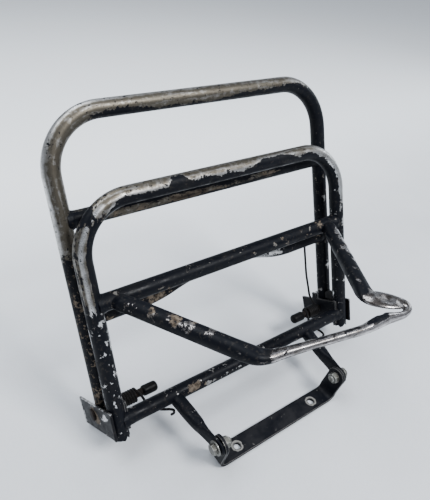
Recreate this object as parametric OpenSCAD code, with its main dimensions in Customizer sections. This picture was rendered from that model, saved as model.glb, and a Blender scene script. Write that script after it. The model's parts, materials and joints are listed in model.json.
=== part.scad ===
// Folding luggage rack: a fixed hoop with a front loop, and a taller hoop that folds back
// on two sprung hinge pins. Two arms pivot on the turned-up ends of a drilled base strip.
// Units are millimetres. The origin is midway between the two mounting holes,
// on the underside of the base strip.

/* [Tubes] */
// outside diameter of every hoop and bar tube
tube_d = 20; // [12:0.5:30]
// wall of the tubes
tube_wall = 1.5; // [1:0.1:3]
// how far the whole rack leans back, degrees
lean = 19.4; // [0:0.1:30]

/* [Folding hoop] */
// width of the folding hoop between leg centres
hoop_w = 380; // [250:1:500]
// height of its top rail above the hinge axis
hoop_h = 345; // [200:1:500]
// bend radius of its two top corners, centre line
hoop_bend_r = 62; // [30:1:120]
// height of the upper crossbar above the hinge axis
upper_bar_h = 237; // [120:1:300]
// height of the sprung rear crossbar above the hinge axis
rear_bar_h = 120.5; // [60:0.5:200]
// how much the middle of the rear crossbar is raised
rear_bar_rise = 14; // [0:1:40]
// half width of the raised middle of the rear crossbar
rear_bar_flat = 48; // [20:1:100]
// half width at which the rear crossbar starts to rise
rear_bar_knee = 100; // [60:1:160]

/* [Fixed hoop] */
// width of the fixed hoop between leg centres
fixed_w = 374; // [250:1:500]
// height of its top rail above the hinge axis
fixed_h = 257; // [150:1:400]
// bend radius of its top corners, centre line
fixed_bend_r = 60; // [30:1:120]
// distance of the fixed hoop in front of the folding hoop, centre to centre
fixed_gap = 34; // [24:0.5:60]
// how far the fixed legs run below the hinge axis
fixed_leg_drop = 22; // [10:1:60]
// height of the mid crossbar above the hinge axis
mid_bar_h = 149; // [80:1:220]

/* [Front loop] */
// half width of the loop at its rear ends
loop_rear_u = 166; // [100:1:180]
// half width of the loop where its arms end in the flattened bends
loop_bend_u = 83; // [60:1:120]
// how far the two bends stand forward of the hinge plane
loop_bend_reach = 172; // [100:1:240]
// drop of the loop for each unit that it runs forward
loop_fall = 0.34; // [0:0.01:0.6]
// diameter of the squeezed front rail
rail_d = 10; // [8:0.5:19]
// where the front rail starts, at the left bend, across
rail_start_u = 62; // [40:1:90]
// how far forward the front rail starts
rail_start_reach = 181; // [100:1:260]
// nose of the pushed-out right bend, across
nose_u = 109; // [84:1:130]
// how far forward the nose stands
nose_reach = 202; // [180:1:260]

/* [Hinge brackets] */
// thickness of the bracket plates
plate_t = 3; // [2:0.5:6]
// height of a plate at its front edge
plate_front_h = 37; // [20:1:60]
// front top corner of a plate above the hinge axis
plate_front_top = 23; // [10:1:40]
// how far an outer plate reaches in front of the hinge axis
plate_front = 46; // [36:1:60]
// how far an outer plate reaches behind the hinge axis
plate_back = 36; // [20:1:50]
// slope of the top and bottom edges, degrees
plate_slope = 10.5; // [0:0.5:25]
// splay of the outer plates away from the legs, degrees
plate_splay = 7.5; // [0:0.5:15]
// hinge pin diameter
pin_d = 10; // [6:0.5:16]
// radial clearance of the legs on the hinge pins
pin_fit = 0.05; // [0.02:0.01:0.1]
// diameter of the black end caps on the pins
cap_d = 14; // [10:0.5:20]

/* [Torsion springs] */
// spring wire diameter
wire_d = 3.4; // [2:0.1:5]
// mean coil diameter
coil_d = 15.4; // [13:0.1:24]
// number of turns
coil_turns = 6; // [3:1:10]
// coil start, measured outward from the middle of the rack
coil_in = 149; // [130:1:160]

/* [Arms and base strip] */
// half spacing of the two arms at the cross tube
arm_root_u = 112; // [80:1:140]
// diameter of the round part of an arm
arm_d = 17; // [12:0.5:22]
// thickness of the flattened arm ends
arm_flat_t = 5; // [3:0.5:8]
// width of the flattened arm ends
arm_flat_w = 26; // [18:1:36]
// half spacing of the ears of the base strip, outer faces
ear_u = 99; // [70:0.5:120]
// strip thickness
strip_t = 4; // [2:0.5:8]
// strip width, front to back
strip_w = 25; // [16:1:50]
// outer radius of the strip's two bends
strip_bend = 12; // [6:1:20]
// half spacing of the two mounting holes
hole_u = 64; // [40:1:80]
// mounting hole diameter
hole_d = 9; // [5:0.5:12]
// pivot bolt diameter
bolt_d = 8; // [5:0.5:12]

/* [Hidden] */
$fn = 48;
r = tube_d / 2;
// tube of the slimmer bars and of the loop's arms
bar_d = tube_d - 1;
// how far a bar's solid runs past the wall line of the leg it is cut to
bar_end = 1;
// play taken out of a cut so that welded tubes meet without a gap
snug = 0.02;
// slack between neighbours on different bodies
slack = 0.4;
// hinge axis in the shared frame
hinge_y = 107.8;
hinge_z = 42.1;
// pivot bolt axis in the shared frame
bolt_y = -6.5;
bolt_z = 43;
// inner faces of the arms' flat ends and of the washers
eye_u = ear_u + slack;
washer_u = eye_u + arm_flat_t + 0.3;
washer_t = 1.6;
// inner faces of the nuts
nut_t = 7.5;
nut_u = ear_u - strip_t - nut_t;
plate_in_u = fixed_w / 2 - r - plate_t + 0.6;
coil_pitch = wire_d - 0.12;
coil_len = coil_turns * coil_pitch;
// outer face of the hinge pins' heads
pin_out_u = 208;
// ends of a pin cap, and how far it grips its pin
cap_u0 = 119;
cap_u1 = 140;
cap_grip = 6;

// rack frame: x across, z up along the legs, y to the back, origin on the hinge axis
module rack() {
  translate([0, hinge_y, hinge_z])
    rotate([-lean, 0, 0])
      children();
}

// straight round bar between two points
module bar(a, b, d) {
  v = b - a;
  len = norm(v);
  translate(a)
    rotate([0, acos(v[2] / len), atan2(v[1], v[0])])
      cylinder(d = d, h = len);
}

module ball(p, d) {
  translate(p)
    sphere(d = d + 0.04, $fn = 16);
}

// round tube along a list of points, a ball at every corner
module run_along(pts, d) {
  for (i = [0 : len(pts) - 2])
    bar(pts[i], pts[i + 1], d);
  for (i = [1 : len(pts) - 2])
    ball(pts[i], d);
}

// solid shape of an inverted U hoop in the x-z plane
module hoop_solid(w, h, bend_r, drop, d) {
  for (s = [-1, 1])
    translate([s * w / 2, 0, -drop])
      cylinder(d = d, h = h - bend_r + drop);
  translate([-w / 2 + bend_r, 0, h])
    rotate([0, 90, 0])
      cylinder(d = d, h = w - 2 * bend_r);
  translate([w / 2 - bend_r, 0, h - bend_r])
    rotate([90, 0, 0])
      rotate_extrude(angle = 90)
        translate([bend_r, 0])
          circle(d = d);
  translate([-w / 2 + bend_r, 0, h - bend_r])
    rotate([90, 0, 0])
      rotate([0, 0, 90])
        rotate_extrude(angle = 90)
          translate([bend_r, 0])
            circle(d = d);
}

module cross_bar(u0, u1, y, z, d) {
  translate([u0, y, z])
    rotate([0, 90, 0])
      cylinder(d = d, h = u1 - u0);
}

// ---------- folding body ----------
module folding_hoop_shape() {
  difference() {
    union() {
      hoop_solid(hoop_w, hoop_h, hoop_bend_r, 0, tube_d);
      for (s = [-1, 1])
        translate([s * hoop_w / 2, 0, 0])
          sphere(d = tube_d);
    }
    difference() {
      hoop_solid(hoop_w, hoop_h, hoop_bend_r, 0, tube_d - 2 * tube_wall);
      translate([-hoop_w, -20, -20])
        cube([2 * hoop_w, 40, 36]);
    }
    cross_bar(-hoop_w, hoop_w, 0, 0, pin_d + 2 * pin_fit);
  }
}

module folding_hoop() {
  color([0.12, 0.13, 0.16])
    rack()
      folding_hoop_shape();
}

module upper_crossbar() {
  color([0.13, 0.12, 0.13])
    rack()
      difference() {
        cross_bar(-hoop_w / 2 + bar_end, hoop_w / 2 - bar_end, 0, upper_bar_h, bar_d);
        cross_bar(-hoop_w, hoop_w, 0, upper_bar_h, bar_d - 2 * tube_wall);
        for (s = [-1, 1])
          translate([s * hoop_w / 2, 0, upper_bar_h - 30])
            cylinder(d = tube_d - snug, h = 60);
      }
}

module rear_bar_solid(d) {
  z0 = rear_bar_h;
  z1 = rear_bar_h + rear_bar_rise;
  e = hoop_w / 2 - bar_end;
  k = rear_bar_knee;
  f = rear_bar_flat;
  run_along([[-e, 0, z0], [-k, 0, z0], [-f, 0, z1], [f, 0, z1], [k, 0, z0], [e, 0, z0]], d);
}

module rear_crossbar() {
  color([0.12, 0.13, 0.15])
    rack()
      difference() {
        rear_bar_solid(bar_d);
        rear_bar_solid(bar_d - 2 * tube_wall);
        for (s = [-1, 1])
          translate([s * hoop_w / 2, 0, rear_bar_h - 30])
            cylinder(d = tube_d - snug, h = 60);
      }
}

// ---------- fixed body ----------
module fixed_hoop() {
  color([0.13, 0.15, 0.19])
    rack()
      translate([0, -fixed_gap, 0])
        difference() {
          hoop_solid(fixed_w, fixed_h, fixed_bend_r, fixed_leg_drop, tube_d);
          hoop_solid(fixed_w, fixed_h, fixed_bend_r, fixed_leg_drop + 1, tube_d - 2 * tube_wall);
        }
}

module leg_cut(z0, z1) {
  for (s = [-1, 1])
    translate([s * fixed_w / 2, -fixed_gap, z0])
      cylinder(d = tube_d - snug, h = z1 - z0);
}

module lower_cross_tube() {
  color([0.14, 0.15, 0.18])
    rack()
      difference() {
        cross_bar(-fixed_w / 2 + bar_end, fixed_w / 2 - bar_end, -fixed_gap, 0, bar_d);
        cross_bar(-fixed_w, fixed_w, -fixed_gap, 0, bar_d - 2 * tube_wall);
        leg_cut(-40, 40);
      }
}

module mid_crossbar() {
  color([0.12, 0.13, 0.15])
    rack()
      difference() {
        cross_bar(-fixed_w / 2 + bar_end, fixed_w / 2 - bar_end, -fixed_gap, mid_bar_h, tube_d);
        cross_bar(-fixed_w, fixed_w, -fixed_gap, mid_bar_h, tube_d - 2 * tube_wall);
        leg_cut(mid_bar_h - 40, mid_bar_h + 40);
      }
}

// point in the plane of the front loop: x across, f forward of the hinge plane
function loop_at(x, f) = [x, -f, mid_bar_h + 2 - (f - fixed_gap) * loop_fall];

// round bar between two points that tapers from one diameter to another
module taper(a, b, d1, d2) {
  v = b - a;
  len = norm(v);
  translate(a)
    rotate([0, acos(v[2] / len), atan2(v[1], v[0])])
      cylinder(d1 = d1, d2 = d2, h = len);
}

module loop_arm(s, d) {
  bar(loop_at(s * loop_rear_u, fixed_gap), loop_at(s * loop_bend_u, loop_bend_reach), d);
}

module front_loop() {
  start = loop_at(-rail_start_u, rail_start_reach);
  nose = loop_at(nose_u, nose_reach);
  color([0.5, 0.5, 0.5])
    rack()
      difference() {
        union() {
          for (s = [-1, 1])
            loop_arm(s, bar_d);
          for (s = [-1, 1])
            ball(loop_at(s * loop_bend_u, loop_bend_reach), bar_d);
          taper(loop_at(-loop_bend_u, loop_bend_reach), start, bar_d, rail_d);
          ball(start, rail_d);
          bar(start, nose, rail_d);
          ball(nose, rail_d);
          taper(loop_at(loop_bend_u, loop_bend_reach), nose, bar_d, rail_d);
        }
        for (s = [-1, 1])
          loop_arm(s, bar_d - 2 * tube_wall);
        cross_bar(-fixed_w, fixed_w, -fixed_gap, mid_bar_h, tube_d - snug);
        leg_cut(mid_bar_h - 60, mid_bar_h + 60);
        translate([-hoop_w, -fixed_gap, mid_bar_h - 60])
          cube([2 * hoop_w, 60, 120]);
      }
}

// side view outline of a bracket plate, x is forward of the hinge axis
module plate_outline(front, back) {
  s = tan(plate_slope);
  polygon([
    [front, plate_front_top],
    [front, plate_front_top - plate_front_h],
    [-back + 5, plate_front_top - plate_front_h - s * (front + back - 5)],
    [-back, plate_front_top - s * (front + back)]
  ]);
}

module outer_plate_shape() {
  // the plate touches the leg at its front edge and splays away from there
  pivot_u = fixed_w / 2 + r - 1.6;
  difference() {
    translate([pivot_u, -plate_front, 0])
      rotate([0, 0, -plate_splay])
        translate([0, plate_front, 0])
          rotate([90, 0, 90])
            linear_extrude(height = plate_t)
              mirror([1, 0])
                plate_outline(plate_front, plate_back);
    cross_bar(150, 230, 0, 0, pin_d);
    leg_cut(-60, 60);
  }
}

module inner_plate_shape() {
  front = fixed_gap + 3;
  back = 34;
  s = tan(plate_slope);
  lug_h = 24;
  difference() {
    translate([plate_in_u, 0, 0])
      rotate([90, 0, 90])
        linear_extrude(height = plate_t)
          polygon([
            [-front, plate_front_top],
            [2, plate_front_top - s * (front + 2)],
            [2, lug_h],
            [11, lug_h],
            [11, plate_front_top - s * (front + 11)],
            [back, plate_front_top - s * (front + back)],
            [back - 5, plate_front_top - plate_front_h - s * (front + back - 5)],
            [-front, plate_front_top - plate_front_h]
          ]);
    cross_bar(150, 230, 0, 0, pin_d);
    cross_bar(150, 230, -fixed_gap, 0, bar_d - snug);
    leg_cut(-60, 60);
  }
}

module left_outer_plate() {
  color([0.3, 0.3, 0.31])
    rack()
      mirror([1, 0, 0])
        outer_plate_shape();
}

module right_outer_plate() {
  color([0.3, 0.3, 0.31])
    rack()
      outer_plate_shape();
}

module left_inner_plate() {
  color([0.16, 0.16, 0.17])
    rack()
      mirror([1, 0, 0])
        inner_plate_shape();
}

module right_inner_plate() {
  color([0.16, 0.16, 0.17])
    rack()
      inner_plate_shape();
}

module pin_shape() {
  head_t = 3.5;
  cross_bar(cap_u1 - cap_grip, pin_out_u - head_t + 0.5, 0, 0, pin_d);
  cross_bar(pin_out_u - head_t, pin_out_u, 0, 0, pin_d + 5);
}

module left_hinge_pin() {
  color([0.25, 0.2, 0.2])
    rack()
      mirror([1, 0, 0])
        pin_shape();
}

module right_hinge_pin() {
  color([0.25, 0.2, 0.2])
    rack()
      pin_shape();
}

module cap_shape() {
  difference() {
    union() {
      cross_bar(cap_u0 + 4, cap_u1, 0, 0, cap_d);
      translate([cap_u0 + 4, 0, 0])
        scale([0.6, 1, 1])
          sphere(d = cap_d);
    }
    cross_bar(cap_u1 - cap_grip, cap_u1 + 1, 0, 0, pin_d);
  }
}

module left_pin_cap() {
  color([0.06, 0.06, 0.08])
    rack()
      mirror([1, 0, 0])
        cap_shape();
}

module right_pin_cap() {
  color([0.06, 0.06, 0.08])
    rack()
      cap_shape();
}

// small block the folding leg rests on when the rack is upright
module pad_shape() {
  pad = 12;
  back = -fixed_gap + 5;
  difference() {
    translate([fixed_w / 2 - pad / 2, back, 18])
      cube([pad, -back - r - slack, pad]);
    leg_cut(0, 60);
  }
}

module left_rest_pad() {
  color([0.07, 0.07, 0.08])
    rack()
      mirror([1, 0, 0])
        pad_shape();
}

module right_rest_pad() {
  color([0.07, 0.07, 0.08])
    rack()
      pad_shape();
}

// ---------- springs ----------
// closely wound coil, one turned solid
module coil() {
  rotate([90, 0, 90])
    translate([0, 0, coil_in])
      rotate_extrude($fn = 28)
        for (i = [0 : coil_turns])
          translate([coil_d / 2, i * coil_pitch])
            circle(d = wire_d, $fn = 12);
}

module wire(a, b) {
  $fn = 16;
  bar(a, b, wire_d);
  ball(b, wire_d);
}

module spring_shape() {
  back = coil_d / 2;
  u1 = coil_in + coil_len;
  // long arm: up behind the leg to its rest on the back of the rear crossbar
  low = [166, back + 1, 22];
  top = [164, r + wire_d / 2 - 0.3, rear_bar_h - 2];
  over = [164, r + wire_d / 2 - 0.3, rear_bar_h + 6];
  coil();
  wire([u1, back, 0], low);
  wire(low, top);
  wire(top, over);
  // short arm: forward under the cross tube, ending in a hook
  knee = [141, -14, -13.6];
  under = [131, -31, -14.2];
  tip = [124.5, -34.5, -14.6];
  wire([coil_in, -2, back], [coil_in - 5, -9, 2]);
  wire([coil_in - 5, -9, 2], knee);
  wire(knee, under);
  wire(under, tip);
  wire(tip, [125.5, -31, -22]);
}

module left_torsion_spring() {
  color([0.07, 0.08, 0.1])
    rack()
      mirror([1, 0, 0])
        spring_shape();
}

module right_torsion_spring() {
  color([0.07, 0.08, 0.1])
    rack()
      spring_shape();
}

// ---------- arms, in the shared frame ----------
module arm_shape() {
  // start inside the cross tube, and the neck where the round bar ends, out from the bolt axis
  root = [arm_root_u, hinge_y - fixed_gap * cos(lean) - 5, hinge_z + fixed_gap * sin(lean) - 5];
  run = [26, 2.6];
  neck = [eye_u + 6, bolt_y + run[0], bolt_z + run[1]];
  side = [-run[1], run[0]] / norm(run);
  eye_r = arm_flat_w / 2 - 1.5;
  difference() {
    union() {
      bar(root, neck, arm_d);
      // a shade wider than the bar, so that the bar ends inside it
      translate(neck)
        sphere(d = arm_d + 0.2);
      translate([eye_u, bolt_y, bolt_z])
        rotate([90, 0, 90])
          linear_extrude(height = arm_flat_t)
            union() {
              polygon([side * eye_r, -side * eye_r, run * 1.3 - side * 7, run * 1.3 + side * 7]);
              circle(r = eye_r);
            }
    }
    translate([0, bolt_y, bolt_z])
      rotate([0, 90, 0])
        cylinder(d = bolt_d + 0.1, h = 200);
    translate([0, hinge_y, hinge_z])
      rotate([-lean, 0, 0])
        cross_bar(0, 200, -fixed_gap, 0, bar_d - snug);
  }
}

module left_arm() {
  color([0.1, 0.11, 0.14])
    mirror([1, 0, 0])
      arm_shape();
}

module right_arm() {
  color([0.1, 0.11, 0.14])
    arm_shape();
}

// ---------- base strip ----------
module mount_strip() {
  flat_u = ear_u - strip_bend;
  color([0.11, 0.12, 0.15])
    difference() {
      union() {
        translate([-flat_u, -strip_w / 2, 0])
          cube([2 * flat_u, strip_w, strip_t]);
        for (s = [0, 1])
          mirror([s, 0, 0]) {
            translate([flat_u, strip_w / 2, strip_bend])
              rotate([90, 0, 0])
                rotate([0, 0, -90])
                  rotate_extrude(angle = 90)
                    translate([strip_bend - strip_t, 0])
                      square([strip_t, strip_w]);
            ear();
          }
      }
      for (s = [-1, 1])
        translate([s * hole_u, 0, -1])
          cylinder(d = hole_d, h = strip_t + 2);
      translate([-ear_u - 1, bolt_y, bolt_z])
        rotate([0, 90, 0])
          cylinder(d = bolt_d, h = 2 * ear_u + 2);
    }
}

// one turned-up end of the strip, leaning forward to a round top about the pivot bolt
module ear() {
  tip_r = strip_w / 2;
  translate([ear_u - strip_t, 0, 0])
    rotate([90, 0, 90])
      linear_extrude(height = strip_t)
        union() {
          polygon([
            [-tip_r, strip_bend],
            [bolt_y - tip_r * 0.99, bolt_z - 1.6],
            [bolt_y + tip_r * 0.99, bolt_z + 1.6],
            [tip_r, strip_bend]
          ]);
          translate([bolt_y, bolt_z])
            circle(r = tip_r);
        }
}

module bolt_shape() {
  u0 = washer_u + washer_t;
  end_u = nut_u - 3.5;
  translate([end_u, bolt_y, bolt_z])
    rotate([0, 90, 0])
      cylinder(d = bolt_d, h = u0 + 1 - end_u);
  translate([u0, bolt_y, bolt_z])
    rotate([0, 90, 0])
      cylinder(d = 14, h = 5, $fn = 6);
}

module washer_shape() {
  translate([washer_u, bolt_y, bolt_z])
    rotate([0, 90, 0])
      difference() {
        cylinder(d = 19, h = washer_t);
        translate([0, 0, -1])
          cylinder(d = bolt_d, h = washer_t + 2);
      }
}

module nut_shape() {
  translate([nut_u, bolt_y, bolt_z])
    rotate([0, 90, 0])
      difference() {
        cylinder(d = 15, h = nut_t, $fn = 6);
        translate([0, 0, -1])
          cylinder(d = bolt_d, h = nut_t + 2);
      }
}

module left_mount_bolt() {
  color([0.45, 0.45, 0.43])
    mirror([1, 0, 0])
      bolt_shape();
}

module right_mount_bolt() {
  color([0.45, 0.45, 0.43])
    bolt_shape();
}

module left_bolt_washer() {
  color([0.6, 0.6, 0.58])
    mirror([1, 0, 0])
      washer_shape();
}

module right_bolt_washer() {
  color([0.6, 0.6, 0.58])
    washer_shape();
}

module left_mount_nut() {
  color([0.5, 0.52, 0.48])
    mirror([1, 0, 0])
      nut_shape();
}

module right_mount_nut() {
  color([0.5, 0.5, 0.48])
    nut_shape();
}

mount_strip();
left_mount_bolt();
right_mount_bolt();
left_bolt_washer();
right_bolt_washer();
left_mount_nut();
right_mount_nut();
fixed_hoop();
lower_cross_tube();
mid_crossbar();
front_loop();
left_arm();
right_arm();
left_outer_plate();
right_outer_plate();
left_inner_plate();
right_inner_plate();
left_hinge_pin();
right_hinge_pin();
left_pin_cap();
right_pin_cap();
left_rest_pad();
right_rest_pad();
left_torsion_spring();
right_torsion_spring();
folding_hoop();
upper_crossbar();
rear_crossbar();
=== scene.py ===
"""Looks of the folding luggage rack: chipped paint over old plating, welds, a crushed front loop and real springs.

Rack coordinates, in millimetres: x across, y to the back, z up along the legs, origin on the hinge axis.
"""

import json
import math

import bpy
import numpy as np
from mathutils import Matrix, Vector


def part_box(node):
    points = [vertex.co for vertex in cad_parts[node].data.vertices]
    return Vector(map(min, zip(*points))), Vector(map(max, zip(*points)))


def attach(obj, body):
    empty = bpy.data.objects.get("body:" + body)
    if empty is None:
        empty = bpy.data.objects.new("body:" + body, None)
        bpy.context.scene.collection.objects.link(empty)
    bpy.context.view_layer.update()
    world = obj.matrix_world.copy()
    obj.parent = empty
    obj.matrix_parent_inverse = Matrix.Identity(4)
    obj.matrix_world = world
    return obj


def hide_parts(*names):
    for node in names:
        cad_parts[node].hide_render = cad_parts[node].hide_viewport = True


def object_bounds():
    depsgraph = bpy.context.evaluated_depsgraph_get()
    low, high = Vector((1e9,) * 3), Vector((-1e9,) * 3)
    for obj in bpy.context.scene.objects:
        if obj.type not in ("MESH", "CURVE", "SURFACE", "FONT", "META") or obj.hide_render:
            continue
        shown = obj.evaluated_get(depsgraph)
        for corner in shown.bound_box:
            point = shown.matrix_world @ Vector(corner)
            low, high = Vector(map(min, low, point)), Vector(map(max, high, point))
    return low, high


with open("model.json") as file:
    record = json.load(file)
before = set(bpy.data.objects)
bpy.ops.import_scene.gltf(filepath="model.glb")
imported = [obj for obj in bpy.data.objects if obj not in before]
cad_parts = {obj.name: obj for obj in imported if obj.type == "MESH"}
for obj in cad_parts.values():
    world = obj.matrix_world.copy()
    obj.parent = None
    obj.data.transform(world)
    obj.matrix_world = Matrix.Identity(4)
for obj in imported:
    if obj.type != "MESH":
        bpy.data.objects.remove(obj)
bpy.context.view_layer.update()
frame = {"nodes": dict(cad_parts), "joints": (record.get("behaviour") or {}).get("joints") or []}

MM = 0.001
LEAN = math.radians(19.4)
TUBE_R = 10.0
BAR_R = 9.5
WALL = 1.5
BORE_DEPTH = 40.0
FIXED_Y = -34.0
FIXED_DROP = 22.0
HOOP_BEND = 62.0
FIXED_BEND = 60.0
SIDES = 56
STEP = 2.0

joints = {j["name"]: j for j in frame["joints"]}
HINGE = Vector(joints["rack_fold"]["pos_m"])
PIVOT = Vector(joints["frame_tilt"]["pos_m"]) / MM
RACK = Matrix.Translation(HINGE) @ Matrix.Rotation(-LEAN, 4, "X") @ Matrix.Scale(MM, 4)
SHARED = Matrix.Scale(MM, 4)


def centre_in_rack(node):
    """Middle of a CAD node's box, in rack coordinates."""
    low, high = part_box(node)
    return RACK.inverted() @ ((low + high) / 2)


def half_width(node):
    """Half of a hoop's width between leg centre lines."""
    low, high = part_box(node)
    return (high.x - low.x) / 2 / MM - TUBE_R


def rail_height(node, y):
    """Height of a hoop's top rail above the hinge, along the legs, for a hoop standing at y."""
    top = (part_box(node)[1].z - HINGE.z) / MM - TUBE_R
    return (top + y * math.sin(LEAN)) / math.cos(LEAN)


HOOP_HALF = half_width("folding_hoop")
HOOP_TOP = rail_height("folding_hoop", 0.0)
FIXED_HALF = half_width("fixed_hoop")
FIXED_TOP = rail_height("fixed_hoop", FIXED_Y)
MID_Z = centre_in_rack("mid_crossbar").z
UPPER_Z = centre_in_rack("upper_crossbar").z
REAR_Z = 120.5
REAR_LIFT = 14.0
HOLE_FROM_MIDDLE = 0.064  # metres, from the middle of the strip to each screw hole
PIN_HEAD_X = 203.6
SPINDLE_X = 134.0
CAP_X = 119.0
WASHER_X = 104.7
BOLT_HEAD_X = 106.3
THREAD_X = 84.0
NUT_X = 95.0


# ---------- small maths ----------
def smooth(x, low, high):
    """0 below low, 1 above high, smooth between them."""
    t = np.clip((np.asarray(x, float) - low) / (high - low), 0.0, 1.0)
    return t * t * (3.0 - 2.0 * t)


def unit(v):
    return v / np.maximum(np.linalg.norm(v, axis=-1, keepdims=True), 1e-9)


def wobble(x, seed, scale):
    """Smooth waviness between about -1 and 1 along x, in millimetres."""
    rng = np.random.default_rng(seed)
    phases = rng.uniform(0, 2 * math.pi, 5)
    waves = [np.sin(np.asarray(x) / scale * (k + 1) * 1.3 + phases[k]) / (k + 1) for k in range(5)]
    return sum(waves) / 1.6


def resample(points, step=STEP):
    """Points at an even spacing along a list of points."""
    p = np.asarray(points, float)
    length = np.concatenate([[0], np.cumsum(np.linalg.norm(np.diff(p, axis=0), axis=1))])
    even = np.linspace(0, length[-1], max(4, int(length[-1] / step)))
    return np.stack([np.interp(even, length, p[:, k]) for k in range(p.shape[1])], axis=1)


def rounded(points, radius, count=10):
    """A list of corner points with each inner corner turned into a curve; extra columns are blended too."""
    p = np.asarray(points, float)
    out = [p[0]]
    for i in range(1, len(p) - 1):
        before = p[i - 1] - p[i]
        after = p[i + 1] - p[i]
        reach = min(radius, 0.45 * np.linalg.norm(before[:3]), 0.45 * np.linalg.norm(after[:3]))
        start = p[i] + before / np.linalg.norm(before[:3]) * reach
        end = p[i] + after / np.linalg.norm(after[:3]) * reach
        for t in np.linspace(0, 1, count):
            out.append((1 - t) ** 2 * start + 2 * t * (1 - t) * p[i] + t * t * end)
    out.append(p[-1])
    return np.array(out)


# ---------- meshes ----------
def frames(centres, across=None):
    """Tangent, side and up of each ring. across is the fixed normal of a path that lies in a plane."""
    tangent = unit(np.gradient(centres, axis=0))
    if across is not None:
        up = np.broadcast_to(np.asarray(across, float), centres.shape)
        return tangent, unit(np.cross(tangent, up)), up
    side = np.zeros_like(centres)
    seed = np.array([0.0, 0.0, 1.0]) if abs(tangent[0][2]) < 0.9 else np.array([1.0, 0.0, 0.0])
    side[0] = unit(np.cross(tangent[0], seed))
    for i in range(1, len(centres)):
        carried = side[i - 1] - tangent[i] * np.dot(side[i - 1], tangent[i])
        side[i] = unit(carried)
    return tangent, side, np.cross(side, tangent)


def ring_points(centres, side, up, half_a, half_b, sides=SIDES, power=2.0):
    """Rings of points round each centre; power above 2 makes a boxier ring."""
    angle = np.linspace(0, 2 * math.pi, sides, endpoint=False)
    c = np.sign(np.cos(angle)) * np.abs(np.cos(angle)) ** (2 / power)
    s = np.sign(np.sin(angle)) * np.abs(np.sin(angle)) ** (2 / power)
    a = np.broadcast_to(half_a, len(centres))[:, None, None]
    b = np.broadcast_to(half_b, len(centres))[:, None, None]
    return centres[:, None] + side[:, None] * a * c[None, :, None] + up[:, None] * b * s[None, :, None]


def skin(name, rings, body, node=None, slot=None, place=RACK, wear=None, material=None, sharp=40.0):
    """A closed mesh over rings of points. wear gives each vertex its bareness, tone and rust."""
    count, sides = rings.shape[:2]
    points = rings.reshape(-1, 3)
    faces = []
    for i in range(count - 1):
        for j in range(sides):
            k = (j + 1) % sides
            faces.append((i * sides + j, i * sides + k, (i + 1) * sides + k, (i + 1) * sides + j))
    first = len(points)
    points = np.vstack([points, rings[0].mean(0), rings[-1].mean(0)])
    last_ring = (count - 1) * sides
    for j in range(sides):
        k = (j + 1) % sides
        faces.append((first, k, j))
        faces.append((first + 1, last_ring + j, last_ring + k))
    piece(name, points, faces, body, node, place, wear, material, sharp)


def piece(name, points, faces, body, node=None, place=RACK, wear=None, material=None, sharp=40.0):
    """Makes the object, its outward normals and its wear attributes, and lets it ride on a body."""
    mesh = bpy.data.meshes.new(name)
    mesh.from_pydata([tuple(p) for p in points], [], faces)
    mesh.validate()
    turn_outward(mesh)
    mesh.shade_smooth()
    mesh.set_sharp_from_angle(angle=math.radians(sharp))
    if wear is not None:
        normal = np.zeros(len(mesh.vertices) * 3, np.float32)
        mesh.vertices.foreach_get("normal", normal)
        where = np.array([v.co for v in mesh.vertices], float)
        for label, values in wear(where, normal.reshape(-1, 3).astype(float)).items():
            store = mesh.attributes.new(label, "FLOAT", "POINT")
            store.data.foreach_set("value", np.clip(np.broadcast_to(values, len(where)), 0, 1).astype(np.float32))
    mesh.transform(place)
    obj = bpy.data.objects.new(name, mesh)
    bpy.context.scene.collection.objects.link(obj)
    if material is not None:
        mesh.materials.append(material)
    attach(obj, body)
    if node:
        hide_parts(*([node] if isinstance(node, str) else node))


def turn_outward(mesh):
    """Flips the faces if the mesh is inside out."""
    volume = 0.0
    mesh.calc_loop_triangles()
    for t in mesh.loop_triangles:
        a, b, c = (mesh.vertices[i].co for i in t.vertices)
        volume += a.dot(b.cross(c))
    if volume < 0:
        mesh.flip_normals()


def lathe(name, profile, start, axis, body, sides=40, **extra):
    """Turned piece: profile holds (distance along the axis, radius)."""
    p = np.asarray(profile, float)
    direction = unit(np.asarray(axis, float))
    centres = np.asarray(start, float) + p[:, :1] * direction
    seed = np.array([0.0, 0.0, 1.0]) if abs(direction[2]) < 0.9 else np.array([0.0, 1.0, 0.0])
    side = np.broadcast_to(unit(np.cross(direction, seed)), centres.shape)
    up = np.cross(np.broadcast_to(direction, centres.shape), side)
    skin(name, ring_points(centres, side, up, p[:, 1], p[:, 1], sides), body, **extra)


def hexagon(name, start, axis, apothem, height, body, hole=0.0, **extra):
    """Hexagonal head or nut with chamfered corners, and a dished hole where it has one."""
    direction = unit(np.asarray(axis, float))
    side = unit(np.cross(direction, [0.0, 0.3, 1.0]))
    up = np.cross(direction, side)
    angle = np.linspace(0, 2 * math.pi, 48, endpoint=False)
    flat = apothem / np.cos((angle + math.pi / 6) % (math.pi / 3) - math.pi / 6)
    corner = apothem * 1.03
    uncapped = 2 * apothem
    levels = [(0.0, corner), (0.8, uncapped), (height - 0.8, uncapped), (height, corner)]
    if hole:
        levels = levels + [(height, hole), (height - 1.0, hole - 0.4)]
    else:
        levels = levels + [(height + 0.15, corner * 0.7)]
    rings = []
    for along, cap in levels:
        radius = np.minimum(flat, cap)
        ring = np.cos(angle)[:, None] * side + np.sin(angle)[:, None] * up
        rings.append(np.asarray(start, float) + direction * along + ring * radius[:, None])
    skin(name, np.array(rings), body, sharp=25.0, **extra)


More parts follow.
